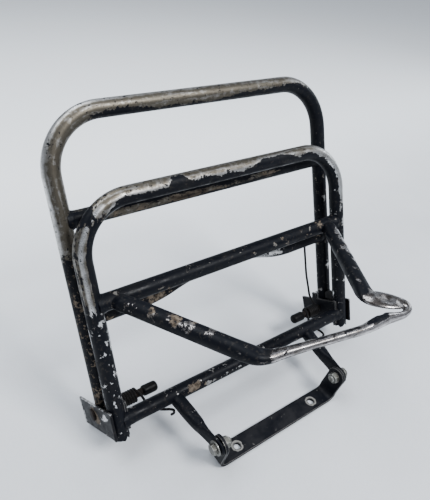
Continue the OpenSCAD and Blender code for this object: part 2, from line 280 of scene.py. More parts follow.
def ragged_start(rings, tangent, depth, seed):
    """Pushes the first rings along the tube by an uneven amount, as on a torn or sawn end."""
    sides = rings.shape[1]
    angle = np.linspace(0, 2 * math.pi, sides, endpoint=False)
    torn = np.abs(wobble(angle * 10.0, seed, 7.0)) * depth
    torn[0] = torn[-1]
    fade = np.linspace(1, 0, 6)
    for i, f in enumerate(fade):
        rings[i] += tangent[0] * (torn * f)[:, None]
    return rings


# ---------- where the paint has gone ----------
def facing(where, normal, half, top, bend):
    """Angle round a hoop's tube in degrees: 0 faces the front, 90 outward, -90 inward."""
    x = where[:, 0] - np.clip(where[:, 0], -(half - bend), half - bend)
    z = where[:, 2] - np.minimum(where[:, 2], top - bend)
    x = np.where(where[:, 2] < top - bend, np.sign(where[:, 0]), x)
    z = np.where(where[:, 2] < top - bend, 0.0, z)
    outward = unit(np.stack([x, np.zeros_like(x), z], axis=1))
    return np.degrees(np.arctan2((normal * outward).sum(1), -normal[:, 1]))


def round_a_bar(normal):
    """Angle round a bar that runs across: 0 faces the front, 90 up, -90 down."""
    return np.degrees(np.arctan2(normal[:, 2], -normal[:, 1]))


def blots(where, normal, spots, wear, tone, rust):
    """Adds bare patches. A spot is (x, y, z, half length, half width, strength, tone, rust), lying along x."""
    for x, y, z, long, wide, strength, spot_tone, spot_rust in spots:
        d = np.sqrt(((where[:, 0] - x) / long) ** 2 + ((where[:, 1] - y) / wide) ** 2 + ((where[:,
            2] - z) / wide) ** 2)
        share = 1.0 - smooth(d, 0.0, 1.5)
        wear = np.maximum(wear, share * strength)
        tone = tone + (spot_tone - tone) * share
        rust = rust + (spot_rust - rust) * share
    return wear, tone, rust


def bare_above(angle, edge, width=34.0, back=125.0):
    """1 on the side of a tube above the edge angle, fading over width degrees, and 0 again round the back."""
    return smooth(angle, edge - width / 2, edge + width / 2) * (1 - smooth(angle, back - 20, back + 20))


def rub_marks(angle, along, seed, width=9.0):
    """Scratches and rub marks that run along a tube, between about -1 and 1."""
    return wobble(angle + 14.0 * wobble(along, seed, 60.0), seed + 1,
        width) * (0.6 + 0.4 * wobble(along, seed + 2, 25.0))


def share_to_angle(share, tilt):
    """Angle at which paint starts when it leaves this share of the seen width bare, counted from the top."""
    return np.degrees(np.arcsin(np.clip(1 - 2 * np.asarray(share), -1, 1))) + tilt


def folding_hoop_wear_and_highlight(where, normal):
    angle = facing(where, normal, HOOP_HALF, HOOP_TOP, HOOP_BEND)
    x, z = where[:, 0], where[:, 2]
    at = [-165, -128, -100, -85, -60, 20, 45, 100, 125, 145, 165, 185]
    share = [0.96, 0.60, 0.58, 0.66, 0.82, 0.84, 0.66, 0.60, 0.50, 0.34, 0.22, 0.10]
    edge = share_to_angle(np.interp(x, at, share), -1.0)
    wear = bare_above(angle, edge, 42.0) * 0.94
    on_left = 1 - smooth(x, -150, -120)
    low = 1 - smooth(z, 168, 232)
    wear = np.where(on_left > 0, np.maximum(wear, on_left * 0.86 * smooth(angle, -95, -60)), wear)
    wear = wear * (1 - low * on_left) + low * on_left * (0.33 + 0.07 * wobble(z, 3, 20))
    on_right = smooth(x, 150, 178) * (1 - smooth(z, 240, 300))
    wear = wear * (1 - on_right) + on_right * 0.17
    rub = rub_marks(angle, x + z, 61)
    rim = (1 - smooth(np.abs(angle - 68), 4, 14)) * smooth(wobble(x - z, 64, 5.0), -0.2, 0.5)
    wear = wear - 0.34 * rim * (1 - low) + 0.10 * rub
    # Painted highlight: lit_edge makes the bare plating brighter on the face between the front and the outer side of
    # the tube, where the light falls.
    lit_edge = smooth(angle, 34, 64) * (1 - 0.6 * smooth(x, -150, -60))
    tone = 0.04 + 0.62 * lit_edge + 0.2 * smooth(x, 100, 150) + 0.22 * rub
    tone = tone * (1 - 0.8 * low * on_left)
    rust = low * on_left * 0.75 + 0.18 * smooth(-angle, 5, 60) * (1 - low)
    patches = [(190, -7, 76, 5, 12, 0.7, 0.8, 0.0), (190, -8, 40, 4, 6, 0.62, 0.8, 0.0),
        (188, -8, 180, 4, 8, 0.5, 0.5, 0.2)]
    wear, tone, rust = blots(where, normal, patches, wear, tone, rust)
    return {"wear": wear, "tone": tone, "rust": rust}


def fixed_hoop_wear_and_highlight(where, normal):
    angle = facing(where, normal, FIXED_HALF, FIXED_TOP, FIXED_BEND)
    x, z = where[:, 0], where[:, 2]
    at = [-160, -135, -115, -85, -80, -76, -60, -54, -20, -12, -4, 12, 36, 50, 84, 100, 112, 126, 150, 180]
    share = [0.9, 0.50, 0.62, 0.60, 0.5, 0.12, 0.14, 0.55, 0.50, 0.72, 0.5, 0.66, 0.55, 0.24, 0.28, 0.44, 0.62, 0.5,
        0.5, 0.5]
    edge = share_to_angle(np.interp(x, at, share), 8.0)
    on_right = smooth(x, 130, 165)
    edge = edge * (1 - on_right) - 20.0 * on_right
    on_left = 1 - smooth(x, -170, -150)
    wear = bare_above(angle, edge, 44.0) * 0.97
    leg_band = smooth(angle, -8, 10) * (0.92 - 0.43 * smooth(angle, 34, 50)) + 0.1 * rub_marks(angle, z, 85, 5.0)
    wear = wear * (1 - on_left) + on_left * leg_band
    left_low = on_left * (1 - smooth(z, 134, 152))
    edge_lines = np.maximum(1 - smooth(np.abs(angle - 96), 4, 13), 1 - smooth(np.abs(angle + 52), 2, 9))
    wear = wear * (1 - left_low) + left_low * (0.17 + 0.5 * edge_lines * smooth(wobble(z, 86, 14.0), -0.5,
        0.3)) * smooth(z, -8, 22)
    right_low = on_right * (1 - smooth(z, 158, 190))
    wear = wear * (1 - right_low) + right_low * 0.13
    rub = rub_marks(angle, x + z, 81, 7.0)
    wear = wear + 0.13 * rub - 0.25 * (1 - smooth(np.abs(angle - 74), 3, 9)) * smooth(wobble(x + z, 84, 6.0), -0.3,
        0.4)
    # Painted highlight: the 0.90 term is a narrow bright streak down the bare band of the left leg.
    tone = 0.10 + 0.5 * on_right + 0.90 * on_left * (1 - smooth(np.abs(angle - 26), 3, 20)) + 0.25 * rub
    tone = tone + 0.35 * smooth(-(angle - edge), -30, 0) * (1 - on_left) + 0.7 * left_low
    rust = 0.10 * (1 - on_right) * smooth(x, -120, -90)
    patches = [
        (-186, -44, 130, 3, 5, 0.84, 1.0, 0.0),
        (-190, -43, 119, 2, 3, 0.74, 0.9, 0.0),
        (-184, -44, 106, 2, 4, 0.74, 0.8, 0.1),
        (-188, -44, 95, 1.5, 3, 0.74, 0.9, 0.0),
        (-186, -44, 82, 2, 3, 0.70, 0.7, 0.2),
        (-183, -44, 69, 2.5, 5, 0.76, 0.9, 0.0),
        (-189, -43, 60, 1.5, 3, 0.72, 0.8, 0.1),
        (-185, -44, 48, 2, 3, 0.70, 0.7, 0.2),
        (-182, -43, 36, 2.5, 4, 0.74, 0.9, 0.0),
        (-188, -44, 27, 1.5, 3, 0.68, 0.7, 0.2),
        (188, -44, 56, 4, 3, 0.85, 1.0, 0.0),
        (192, -43, 152, 6, 10, 0.7, 0.9, 0.0),
    ]
    wear, tone, rust = blots(where, normal, patches, wear, tone, rust)
    top_notch = (1 - smooth(np.abs(x + 68), 4, 9)) * (1 - smooth(angle, 58, 78))
    wear = wear * (1 - 0.75 * top_notch)
    notch = 1 - smooth(np.abs(x + 172 + 0.35 * (z - 238)), 3, 9)
    wear = wear * (1 - 0.75 * notch * (1 - smooth(np.abs(z - 236), 14, 22)))
    return {"wear": wear, "tone": tone, "rust": rust}


def upper_bar_wear(where, normal):
    angle = round_a_bar(normal)
    x = where[:, 0]
    band = smooth(angle, -60, -35) * (1 - smooth(angle, 0, 28))
    reach = smooth(x, -165, -140) * (1 - smooth(x, 60, 130))
    return {"wear": 0.14 + 0.58 * band * reach, "tone": 0.05, "rust": 0.55 + 0.2 * wobble(x, 33, 40.0)}


def mid_bar_wear(where, normal):
    wear, tone, rust = np.full(len(where), 0.12), np.full(len(where), 0.25), np.full(len(where), 0.5)
    spots = [(145, -41, 154, 9, 7, 0.62, 0.2, 0.8), (75, -42, 154, 7, 5, 0.58, 0.2, 0.8),
        (108, -41, 156, 5, 4, 0.55, 0.3, 0.6)]
    spots = spots + [(-100, -40, 142, 12, 4, 0.45, 0.1, 0.8), (-60, -40, 141, 20, 3, 0.42, 0.1, 0.7),
        (165, -42, 150, 6, 5, 0.6, 0.3, 0.6)]
    wear, tone, rust = blots(where, normal, spots, wear, tone, rust)
    return {"wear": wear, "tone": tone, "rust": rust}


def rear_bar_wear(where, normal):
    wear, tone, rust = np.full(len(where), 0.12), np.full(len(where), 0.2), np.full(len(where), 0.6)
    spots = [
        (-163, -8, 122, 13, 10, 0.72, 0.1, 0.95),
        (-102, -7, 123, 24, 12, 0.80, 0.12, 0.75),
        (70, -6, 122, 46, 9, 0.90, 1.0, 0.0),
        (20, -6, 126, 40, 6, 0.62, 0.8, 0.1),
    ]
    wear, tone, rust = blots(where, normal, spots, wear, tone, rust)
    dark = 1 - smooth(np.hypot((where[:, 0] + 160) / 8.0, (where[:, 2] - 122) / 4.0), 0.7, 1.1)
    return {"wear": wear * (1 - dark), "tone": tone, "rust": rust}


def cross_tube_wear(where, normal):
    wear, tone, rust = np.full(len(where), 0.11), np.full(len(where), 0.5), np.full(len(where), 0.3)
    spots = [
        (-88, -42, 2, 15, 7, 0.86, 0.3, 0.9),
        (-64, -42, 0, 10, 6, 0.82, 0.5, 0.6),
        (-44, -42, 0, 9, 4, 0.75, 0.6, 0.4),
        (-20, -42, 0, 13, 3, 0.68, 0.8, 0.1),
        (30, -41, 3, 10, 3, 0.62, 0.9, 0.0),
        (-126, -42, 0, 6, 3, 0.62, 0.2, 0.9),
    ]
    wear, tone, rust = blots(where, normal, spots, wear, tone, rust)
    return {"wear": wear, "tone": tone, "rust": rust}


def loop_wear_and_shading(where, normal):
    """Black arms with patches; bare streaky plating on the front rail and the pushed-out right bend, with painted
    shade and painted highlight on the rail.
    """
    x, y = where[:, 0], where[:, 1]
    rail = smooth(-y - 181.0 - 0.123 * (x + 62.0), -12.0, -5.0) * smooth(x, -80, -62)
    nose = smooth(x - 62.0 + 0.7 * (-y - 160.0), 14.0, 30.0) * smooth(-y, 167, 176) * smooth(x, 60, 72)
    bare = np.maximum(rail, nose)
    angle = round_a_bar(normal)
    rub = rub_marks(angle, x, 91, 8.0)
    # Painted shade and highlight: the rail is left as bare plating on its lit upper side and kept in black paint on
    # its shaded underside (dark_below).
    dark_below = -22 - 30 * np.maximum(smooth(x, 10, 60), nose)
    lit = smooth(angle - dark_below, -14, 14) * (1 - 0.85 * smooth(angle, 46, 74) * rail * (1 - nose))
    wear = 0.12 + (0.30 + 0.58 * lit + 0.30 * rub) * bare
    # Painted highlight: the 0.25 rail term brightens the rail's plating towards the right.
    tone = 0.30 + bare * (0.04 + 0.75 * rub + 0.25 * rail * smooth(x, -20, 40) - 0.2 * nose)
    rust = 0.35 * (1 - bare)
    spots = [
        (-128, -104, 135, 11, 10, 0.86, 0.25, 0.75),
        (-118, -118, 131, 12, 10, 0.88, 0.35, 0.40),
        (-106, -136, 125, 9, 7, 0.74, 0.45, 0.25),
        (-143, -82, 142, 8, 6, 0.60, 0.2, 0.8),
        (152, -70, 147, 9, 11, 0.95, 0.9, 0.0),
        (143, -86, 142, 9, 12, 0.98, 0.9, 0.0),
        (132, -106, 135, 9, 13, 1.0, 0.8, 0.0),
        (120, -122, 128, 4, 6, 0.82, 1.0, 0.0),
        (104, -134, 124, 4, 5, 0.66, 1.0, 0.0),
        (91, -152, 119, 3, 5, 0.80, 1.0, 0.0),
    ]
    wear, tone, rust = blots(where, normal, spots, wear, tone, rust)
    left_black = (1 - smooth(x, -72, -56)) * (1 - smooth(-y, 180, 185)) * smooth(-y, 156, 166)
    patch = (1 - smooth(np.abs(x - 64), 11, 17)) * smooth(angle, 22, 38) * smooth(-y, 190, 193)
    hide = np.maximum(left_black, patch)
    wear = wear * (1 - hide) + hide * np.minimum(wear, 0.14)
    return {"wear": wear, "tone": tone, "rust": rust}


def arm_wear(where, normal):
    """Small chips along both edges of an arm, in shared-frame millimetres."""
    edge = smooth(np.abs(normal[:, 2]), 0.55, 0.95) * (1 - smooth(where[:, 1], 30, 60))
    return {"wear": 0.05 + 0.12 * edge, "tone": 0.6 + 0 * edge, "rust": 0.2 + 0 * edge}


# ---------- materials ----------
class Shader:
    """A material's node tree, built a node at a time."""

    def __init__(self, name):
        self.material = bpy.data.materials.new(name)
        self.material.use_nodes = True
        self.tree = self.material.node_tree
        self.tree.nodes.clear()
        self.surface = self.add("ShaderNodeBsdfPrincipled")
        output = self.add("ShaderNodeOutputMaterial")
        self.tree.links.new(self.surface.outputs[0], output.inputs["Surface"])
        self.place = self.add("ShaderNodeTexCoord").outputs["Object"]

    def add(self, kind, inputs=None, **settings):
        node = self.tree.nodes.new(kind)
        for key, value in settings.items():
            setattr(node, key, value)
        for key, value in (inputs or {}).items():
            self.put(node.inputs[key], value)
        return node

    def put(self, socket, value):
        if isinstance(value, bpy.types.NodeSocket):
            self.tree.links.new(value, socket)
        else:
            socket.default_value = value

    def math(self, operation, *values, clamp=False):
        node = self.add("ShaderNodeMath", operation=operation, use_clamp=clamp)
        for socket, value in zip(node.inputs, values):
            self.put(socket, value)
        return node.outputs[0]

    def noise(self, scale, detail=4.0, rough=0.6, where=None, stretch=None):
        where = where or self.place
        if stretch:
            where = self.add("ShaderNodeMapping", {"Vector": where, "Scale": stretch}).outputs[0]
        inputs = {"Vector": where, "Scale": scale, "Detail": detail, "Roughness": rough}
        return self.add("ShaderNodeTexNoise", inputs).outputs["Fac"]

    def ramp(self, value, low, high, start=0.0, end=1.0):
        inputs = {"Value": value, "From Min": low, "From Max": high, "To Min": start, "To Max": end}
        return self.add("ShaderNodeMapRange", inputs, interpolation_type="SMOOTHSTEP").outputs[0]

    def mix(self, share, first, second):
        node = self.add("ShaderNodeMix", data_type="RGBA")
        for socket, value in zip((node.inputs[0], node.inputs[6], node.inputs[7]), (share, first, second)):
            self.put(socket, value)
        return node.outputs[2]

    def blend(self, share, first, second):
        node = self.add("ShaderNodeMix", data_type="FLOAT")
        for socket, value in zip(node.inputs[:1] + node.inputs[2:4], (share, first, second)):
            self.put(socket, value)
        return node.outputs[0]

    def field(self, name):
        return self.add("ShaderNodeAttribute", attribute_name=name, attribute_type="GEOMETRY").outputs["Fac"]

    def bump(self, height, distance, strength=1.0, under=None):
        inputs = {"Height": height, "Distance": distance, "Strength": strength}
        if under is not None:
            inputs["Normal"] = under
        return self.add("ShaderNodeBump", inputs).outputs[0]

    def finish(self, **inputs):
        for key, value in inputs.items():
            self.put(self.surface.inputs[key.replace("_", " ")], value)
        return self.material


PAINT = (0.0025, 0.0032, 0.0055, 1)
PAINT_DUSTY = (0.009, 0.0085, 0.0085, 1)
KHAKI = (0.088, 0.078, 0.062, 1)
BRIGHT = (0.66, 0.66, 0.66, 1)
RUST_DARK = (0.030, 0.022, 0.016, 1)
PRIMER = (0.165, 0.133, 0.102, 1)


def worn_paint(name, paint=PAINT, dusty=PAINT_DUSTY, khaki=KHAKI, bright=BRIGHT, metal_rough=(0.46, 0.24),
    stretch=None):
    """Old paint that has chipped where the wear attribute says, down to plating, primer or rust."""
    s = Shader(name)
    wear, tone, rust = s.field("wear"), s.field("tone"), s.field("rust")
    coarse = s.noise(75.0, 4.0, 0.6, stretch=stretch)
    fine = s.noise(230.0, 5.0, 0.68, stretch=stretch)
    grit = s.noise(900.0, 3.0, 0.6)
    cloud = s.noise(28.0, 4.0, 0.6)
    ragged = s.math("MULTIPLY_ADD", s.math("SUBTRACT", coarse, 0.5), 1.7,
        s.math("MULTIPLY", s.math("SUBTRACT", fine, 0.5), 1.9))
    flecks = s.ramp(s.noise(330.0, 2.0, 0.5), 0.60, 0.66, 0.0, -0.42)
    level = s.math("ADD", s.math("ADD", wear, flecks), ragged)
    bare = s.ramp(level, 0.495, 0.515)
    rim = s.math("SUBTRACT", s.ramp(level, 0.44, 0.495), bare, clamp=True)

    # plating: khaki where it is dull, silver where it is rubbed and where the tone attribute puts a painted
    # highlight, stained in soft clouds and fine pits
    shine = s.math("ADD", tone, s.math("MULTIPLY", s.math("SUBTRACT", s.noise(140.0, 5.0, 0.7), 0.56), 1.1),
        clamp=True)
    plate = s.mix(shine, khaki, bright)
    stain = s.ramp(s.noise(45.0, 6.0, 0.7), 0.46, 0.70)
    plate = s.mix(s.math("MULTIPLY", stain, 0.6), plate, (0.060, 0.050, 0.038, 1))
    plate = s.mix(s.ramp(grit, 0.58, 0.72, 0.0, 0.6), plate, (0.06, 0.055, 0.05, 1))
    earth = s.mix(s.ramp(s.noise(150.0, 5.0, 0.7, stretch=stretch), 0.36, 0.62), RUST_DARK, PRIMER)
    is_rust = s.ramp(s.math("ADD", rust, s.math("MULTIPLY", s.math("SUBTRACT", s.noise(80.0, 4.0, 0.6), 0.5), 1.2)),
        0.45, 0.62)
    under = s.mix(is_rust, plate, earth)

    coat = s.mix(s.ramp(cloud, 0.50, 0.78, 0.0, 0.55), paint, dusty)
    coat = s.mix(s.ramp(s.noise(260.0, 4.0, 0.6), 0.56, 0.70, 0.0, 0.22), coat, (0.075, 0.064, 0.052, 1))
    coat = s.mix(s.math("MULTIPLY", rim, 0.55), coat, (0.09, 0.075, 0.06, 1))
    colour = s.mix(bare, coat, under)

    metal = s.math("MULTIPLY", bare, s.math("SUBTRACT", 1.0, s.math("MULTIPLY", is_rust, 0.9)))
    rough_paint = s.ramp(s.noise(55.0, 6.0, 0.7), 0.3, 0.7, 0.30, 0.62)
    rough_plate = s.math("ADD", s.blend(shine, metal_rough[0], metal_rough[1]), s.ramp(grit, 0.4, 0.7, -0.05, 0.12))
    rough = s.blend(bare, rough_paint, s.blend(is_rust, rough_plate, 0.82))
    peel = s.bump(s.noise(520.0, 3.0, 0.5), 0.00006, 0.6)
    chipped = s.bump(s.math("SUBTRACT", 1.0, bare), 0.00022, 0.9, under=peel)
    pits = s.bump(s.math("MULTIPLY", grit, s.math("ADD", is_rust, 0.25)), 0.00012, 0.5, under=chipped)
    return s.finish(Base_Color=colour, Metallic=metal, Roughness=rough, Normal=pits, Specular_IOR_Level=0.09)


def rubbed(name, base, second, rough=(0.35, 0.6), metallic=0.0, edge=(0.55, 0.54, 0.52, 1), edge_size=0.0012,
    share=0.7, over=None):
    """Paint, plate or plastic whose sharp edges are rubbed to another colour; over may add marks on top."""
    s = Shader(name)
    soft = s.add("ShaderNodeBevel", {"Radius": edge_size}, samples=6)
    turned = s.add("ShaderNodeVectorMath", operation="DOT_PRODUCT")
    s.put(turned.inputs[0], soft.outputs[0])
    s.put(turned.inputs[1], s.add("ShaderNodeNewGeometry").outputs["Normal"])
    corner = s.math("SUBTRACT", 1.0, turned.outputs["Value"])
    ragged = s.math("MULTIPLY", s.math("SUBTRACT", s.noise(260.0, 4.0, 0.65), 0.5), 0.9)
    worn = s.ramp(s.math("ADD", s.math("MULTIPLY", corner, 5.0), ragged), 0.30, 0.38, 0.0, share)
    chips = s.ramp(s.noise(190.0, 4.0, 0.6), 0.685, 0.70, 0.0, share)
    bare = s.math("MAXIMUM", worn, chips)
    body = s.mix(s.ramp(s.noise(60.0, 5.0, 0.65), 0.35, 0.7), base, second)
    body = s.mix(s.ramp(s.noise(700.0, 2.0, 0.5), 0.6, 0.75, 0.0, 0.3), body, (0.013, 0.012, 0.011, 1))
    colour = s.mix(bare, body, edge)
    if over is not None:
        colour = over(s, colour)
    metal = s.blend(bare, metallic, 0.9)
    roughness = s.blend(bare, s.ramp(s.noise(90.0, 5.0, 0.7), 0.3, 0.7, rough[0], rough[1]), 0.38)
    height = s.bump(s.noise(600.0, 3.0, 0.6), 0.00008, 0.6)
    return s.finish(Base_Color=colour, Metallic=metal, Roughness=roughness, Normal=height, Specular_IOR_Level=0.10)


def screw_rings(s, colour):
    """Grey rings rubbed round the two screw holes of the base strip."""
    apart = s.add("ShaderNodeSeparateXYZ", {"Vector": s.place})
    depth = apart.outputs["Y"]
    across = s.math("SUBTRACT", s.math("ABSOLUTE", apart.outputs["X"]), HOLE_FROM_MIDDLE)
    away = s.math("SQRT", s.math("ADD", s.math("MULTIPLY", across, across), s.math("MULTIPLY", depth, depth)))
    away = s.math("ADD", away, s.math("MULTIPLY", s.math("SUBTRACT", s.noise(300.0, 4.0, 0.6), 0.5), 0.0035))
    ring = s.math("MULTIPLY", s.ramp(away, 0.0078, 0.0072), s.ramp(away, 0.0050, 0.0056))
    return s.mix(ring, colour, (0.17, 0.165, 0.155, 1))


def floor_paint():
    s = Shader("floor")
    behind = s.ramp(s.add("ShaderNodeSeparateXYZ", {"Vector": s.place}).outputs["Y"], 0.15, 0.9)
    tint = s.mix(s.ramp(s.noise(3.0, 4.0, 0.6), 0.35, 0.7), (0.56, 0.58, 0.61, 1), (0.61, 0.63, 0.66, 1))
    tint = s.mix(behind, tint, (0.93, 0.96, 0.985, 1))
    grain = s.bump(s.noise(150.0, 5.0, 0.65), 0.0012, 0.6)
    return s.finish(Base_Color=tint, Roughness=0.85, Normal=grain)


CHIPPED = worn_paint("chipped_black_paint")
STREAKED = worn_paint("chipped_black_paint_streaked", stretch=(0.16, 1.0, 1.0))
PLATED = worn_paint("worn_plating", khaki=(0.075, 0.066, 0.062, 1), bright=(0.62, 0.60, 0.60, 1),
    metal_rough=(0.30, 0.13))
PLATE = worn_paint("bracket_steel", paint=(0.006, 0.006, 0.0075, 1), dusty=(0.015, 0.0135, 0.012, 1),
    khaki=(0.11, 0.10, 0.09, 1))
BLACK = rubbed("rubbed_black_paint", PAINT, (0.012, 0.012, 0.014, 1), edge=(0.30, 0.29, 0.27, 1))
PIN = rubbed("brown_pin_steel", (0.007, 0.0055, 0.005, 1), (0.017, 0.012, 0.010, 1), rough=(0.5, 0.75),
    edge=(0.05, 0.045, 0.04, 1), share=0.4)
ZINC = rubbed("dirty_zinc", (0.17, 0.17, 0.155, 1), (0.055, 0.05, 0.042, 1), rough=(0.36, 0.6), metallic=0.85,
    edge=(0.5, 0.5, 0.48, 1))
STRIP = rubbed("strip_black_paint", PAINT, (0.012, 0.012, 0.014, 1), rough=(0.38, 0.62), edge=(0.24, 0.23, 0.215, 1),
    share=0.75, over=screw_rings)
CAP = rubbed("black_cap", (0.002, 0.002, 0.0025, 1), (0.004, 0.004, 0.0045, 1), rough=(0.3, 0.5),
    edge=(0.03, 0.03, 0.03, 1), share=0.3)
RUBBER = rubbed("black_rubber", (0.012, 0.012, 0.013, 1), (0.026, 0.025, 0.025, 1), rough=(0.6, 0.85),
    edge=(0.05, 0.05, 0.05, 1))
WIRE = rubbed("spring_wire", (0.003, 0.0032, 0.004, 1), (0.009, 0.0082, 0.0078, 1), rough=(0.34, 0.6),
    edge=(0.10, 0.095, 0.09, 1), share=0.2)


# ---------- hoops and bars ----------
def hoop_line(half, top, bend, low):
    """Centre line of an upside-down U, from the left leg's lower end to the right one's."""
    turn = np.linspace(0, math.pi / 2, 30)
    left = [(-half, low), (-half, top - bend)]
    left = left + [(-half + bend * (1 - math.cos(t)), top - bend + bend * math.sin(t)) for t in turn]
    right = [(-x, z) for x, z in reversed(left)]
    return resample([(x, 0.0, z) for x, z in left + right])


def weld_flare(distance, seed, size=1.3, reach=2.4):
    """Extra radius of a weld bead at this distance from the joint, a little lumpy."""
    return size * np.exp(-np.abs(distance) / reach) * (1 + 0.25 * wobble(distance * 9, seed, 3.0))


def build_folding_hoop():
    line = hoop_line(HOOP_HALF, HOOP_TOP, HOOP_BEND, -9.6)
    _, side, up = frames(line, (0.0, 1.0, 0.0))
    drop = np.maximum(-line[:, 2], 0.0)
    radius = np.sqrt(np.maximum(TUBE_R**2 - drop**2, 0.5))
    rings = ring_points(line, side, up, radius, radius)
    skin("folding_hoop_tube", rings, "folding", "folding_hoop", "chipped_black_paint", wear=folding_hoop_wear_and_highlight,
        material=CHIPPED)


def build_fixed_hoop():
    line = hoop_line(FIXED_HALF, FIXED_TOP, FIXED_BEND, -FIXED_DROP) + np.array([0.0, FIXED_Y, 0.0])
    tangent, side, up = frames(line, (0.0, 1.0, 0.0))
    radius = np.full(len(line), TUBE_R)
    rings = ragged_start(ring_points(line, side, up, radius, radius), tangent, 4.5, 5)
    rings = ragged_start(rings[::-1], -tangent[::-1], 5.0, 8)[::-1]
    inner = TUBE_R - WALL
    mouths = []
    for end in (0, -1):
        toward = tangent[0] if end == 0 else -tangent[-1]
        shrink = line[end] + (rings[end] - line[end] - toward * ((rings[end] - line[end]) @ toward)[:,
            None]) * inner / TUBE_R
        lip = shrink + toward * ((rings[end] - line[end]) @ toward)[:, None]
        mouths.append((lip, shrink + toward * BORE_DEPTH))
    rings = np.concatenate([[mouths[0][1]], [mouths[0][0]], rings, [mouths[1][0]], [mouths[1][1]]])
    skin("fixed_hoop_tube", rings, "frame", "fixed_hoop", "chipped_black_paint", wear=fixed_hoop_wear_and_highlight,
        material=CHIPPED)


def bar_rings(y, z, leg_x, seed, rise=None, radius=BAR_R):
    """Rings of a crossbar between two legs, with a weld bead at each end; rise gives its (x, height) knees."""
    end = leg_x - 4.0
    knees = [(-end, y, z)] + ([(x, y, z + h) for x, h in rise] if rise else []) + [(end, y, z)]
    line = resample(rounded(knees, 22.0), 1.5)
    _, side, up = frames(line, (0.0, 1.0, 0.0))
    gap = leg_x - TUBE_R - np.abs(line[:, 0])
    flare = np.where(gap < 14.0, weld_flare(np.maximum(gap, 0.0), seed), 0.0)
    lumps = 1 + 0.10 * wobble(np.arange(SIDES) * 4.0, seed + 1, 3.0)
    rings = ring_points(line, side, up, radius, radius)
    rings = rings + (rings - line[:, None]) / radius * flare[:, None, None] * lumps[None, :, None]
    return rings


def build_crossbars():
    upper = bar_rings(0.0, UPPER_Z, HOOP_HALF, 11)
    skin("upper_crossbar_tube", upper, "folding", "upper_crossbar", "chipped_black_paint", wear=upper_bar_wear,
        material=STREAKED)
    knees = [(-100.0, 0.0), (-48.0, REAR_LIFT), (48.0, REAR_LIFT), (100.0, 0.0)]
    rear = bar_rings(0.0, REAR_Z, HOOP_HALF, 21, rise=knees)
    dent = np.array([-160.0, -9.0, 122.0])
    near = 1 - smooth(np.linalg.norm((rear - dent) / np.array([11.0, 9.0, 6.0]), axis=2), 0.2, 1.0)
    rear[..., 1] += near * 3.0
    skin("rear_crossbar_tube", rear, "folding", "rear_crossbar", "chipped_black_paint", wear=rear_bar_wear,
        material=CHIPPED)
    mid = bar_rings(FIXED_Y, MID_Z, FIXED_HALF, 31, radius=TUBE_R)
    skin("mid_crossbar_tube", mid, "frame", "mid_crossbar", "chipped_black_paint", wear=mid_bar_wear,
        material=CHIPPED)
    cross = bar_rings(FIXED_Y, 0.0, FIXED_HALF, 41)
    skin("lower_cross_tube_tube", cross, "frame", "lower_cross_tube", "chipped_black_paint", wear=cross_tube_wear,
        material=CHIPPED)


# ---------- front loop ----------
LOOP_REAR = 166.0
LOOP_FALL = 0.34


def loop_at(x, forward, lift=0.0):
    """Point in the loop's sloping plane, forward of the hinge plane."""
    return (x, -forward, MID_Z + 2.0 - (forward + FIXED_Y) * LOOP_FALL + lift)


def build_front_loop():
    """One tube: round arms, a flattened left bend, a squeezed rail and a right bend crushed into a flat nose."""
    # x, forward, lift, half width in the loop's plane, half height across it
    stations = [
        (-LOOP_REAR, 33, -2.5, 9.0, 6.5),
        (-LOOP_REAR + 9, 48, 0, 9.5, 9.5),
        (-92, 158, 0, 9.5, 9.5),
        (-82, 172.5, 0, 10.5, 7.5),
        (-72, 178.5, -0.5, 7.8, 6.2),
        (-58, 182, 0, 5.6, 5.4),
        (-30, 187.5, 0, 4.9, 4.9),
        (10, 195, 0, 4.8, 4.8),
        (40, 201, 0, 5.0, 5.2),
        (58, 202, 1, 6.5, 6.8),
        (74, 203, 1.5, 6.2, 7.4),
        (88, 206, 0, 4.2, 5.6),
        (100, 207.5, -1, 3.8, 4.6),
        (111, 205, 0, 4.6, 4.4),
        (113, 198, 1.5, 7.5, 3.8),
        (104, 191.5, 3, 12.5, 3.2),
        (92, 183, 4, 14.2, 3.6),
        (84, 173, 3, 12.0, 5.2),
        (88, 162, 1, 10.2, 8.2),
        (97, 148, 0, 9.5, 9.5),
        (LOOP_REAR - 9, 48, 0, 9.5, 9.5),
        (LOOP_REAR, 33, -2.5, 9.0, 6.5),
    ]
    rows = np.array([loop_at(x, f, h) + (a, b) for x, f, h, a, b in stations], float)
    rows = resample(rounded(rows, 16.0, 12), 1.6)
    line = rows[:, :3]
    plane = unit(np.array([0.0, -LOOP_FALL, 1.0]))
    _, side, up = frames(line, plane)
    rings = ring_points(line, side, up, rows[:, 3], rows[:, 4], power=2.25)
    rings = crease(rings, line)
    gap = np.abs(-line[:, 1] + FIXED_Y) - TUBE_R
    flare = weld_flare(np.maximum(gap, 0.0), 51, 0.8, 3.0) * (gap < 14) * smooth(gap, -2.0, 1.0)
    rings = rings + unit(rings - line[:, None]) * flare[:, None, None]
    skin("front_loop_tube", rings, "frame", "front_loop", "worn_chrome", wear=loop_wear_and_shading, material=PLATED)


def crease(rings, line):
    """Folds and small dents in the crushed bends."""
    up = np.array([0.0, 0.0, 1.0])
    for x, forward, wide, depth in [(98, 188, 9, 2.2), (84, 180, 8, -1.4), (70, 198, 7, 1.8), (106, 199, 6, 1.2),
        (-74, 177, 7, 1.8)]:
        centre = np.array(loop_at(x, forward))
        near = 1 - smooth(np.linalg.norm(rings[..., :2] - centre[:2], axis=2), 0.0, wide)
        above = (rings[..., 2] > line[:, None, 2]) * 1.0
        rings = rings - up * (near * above * depth)[..., None]
    return rings


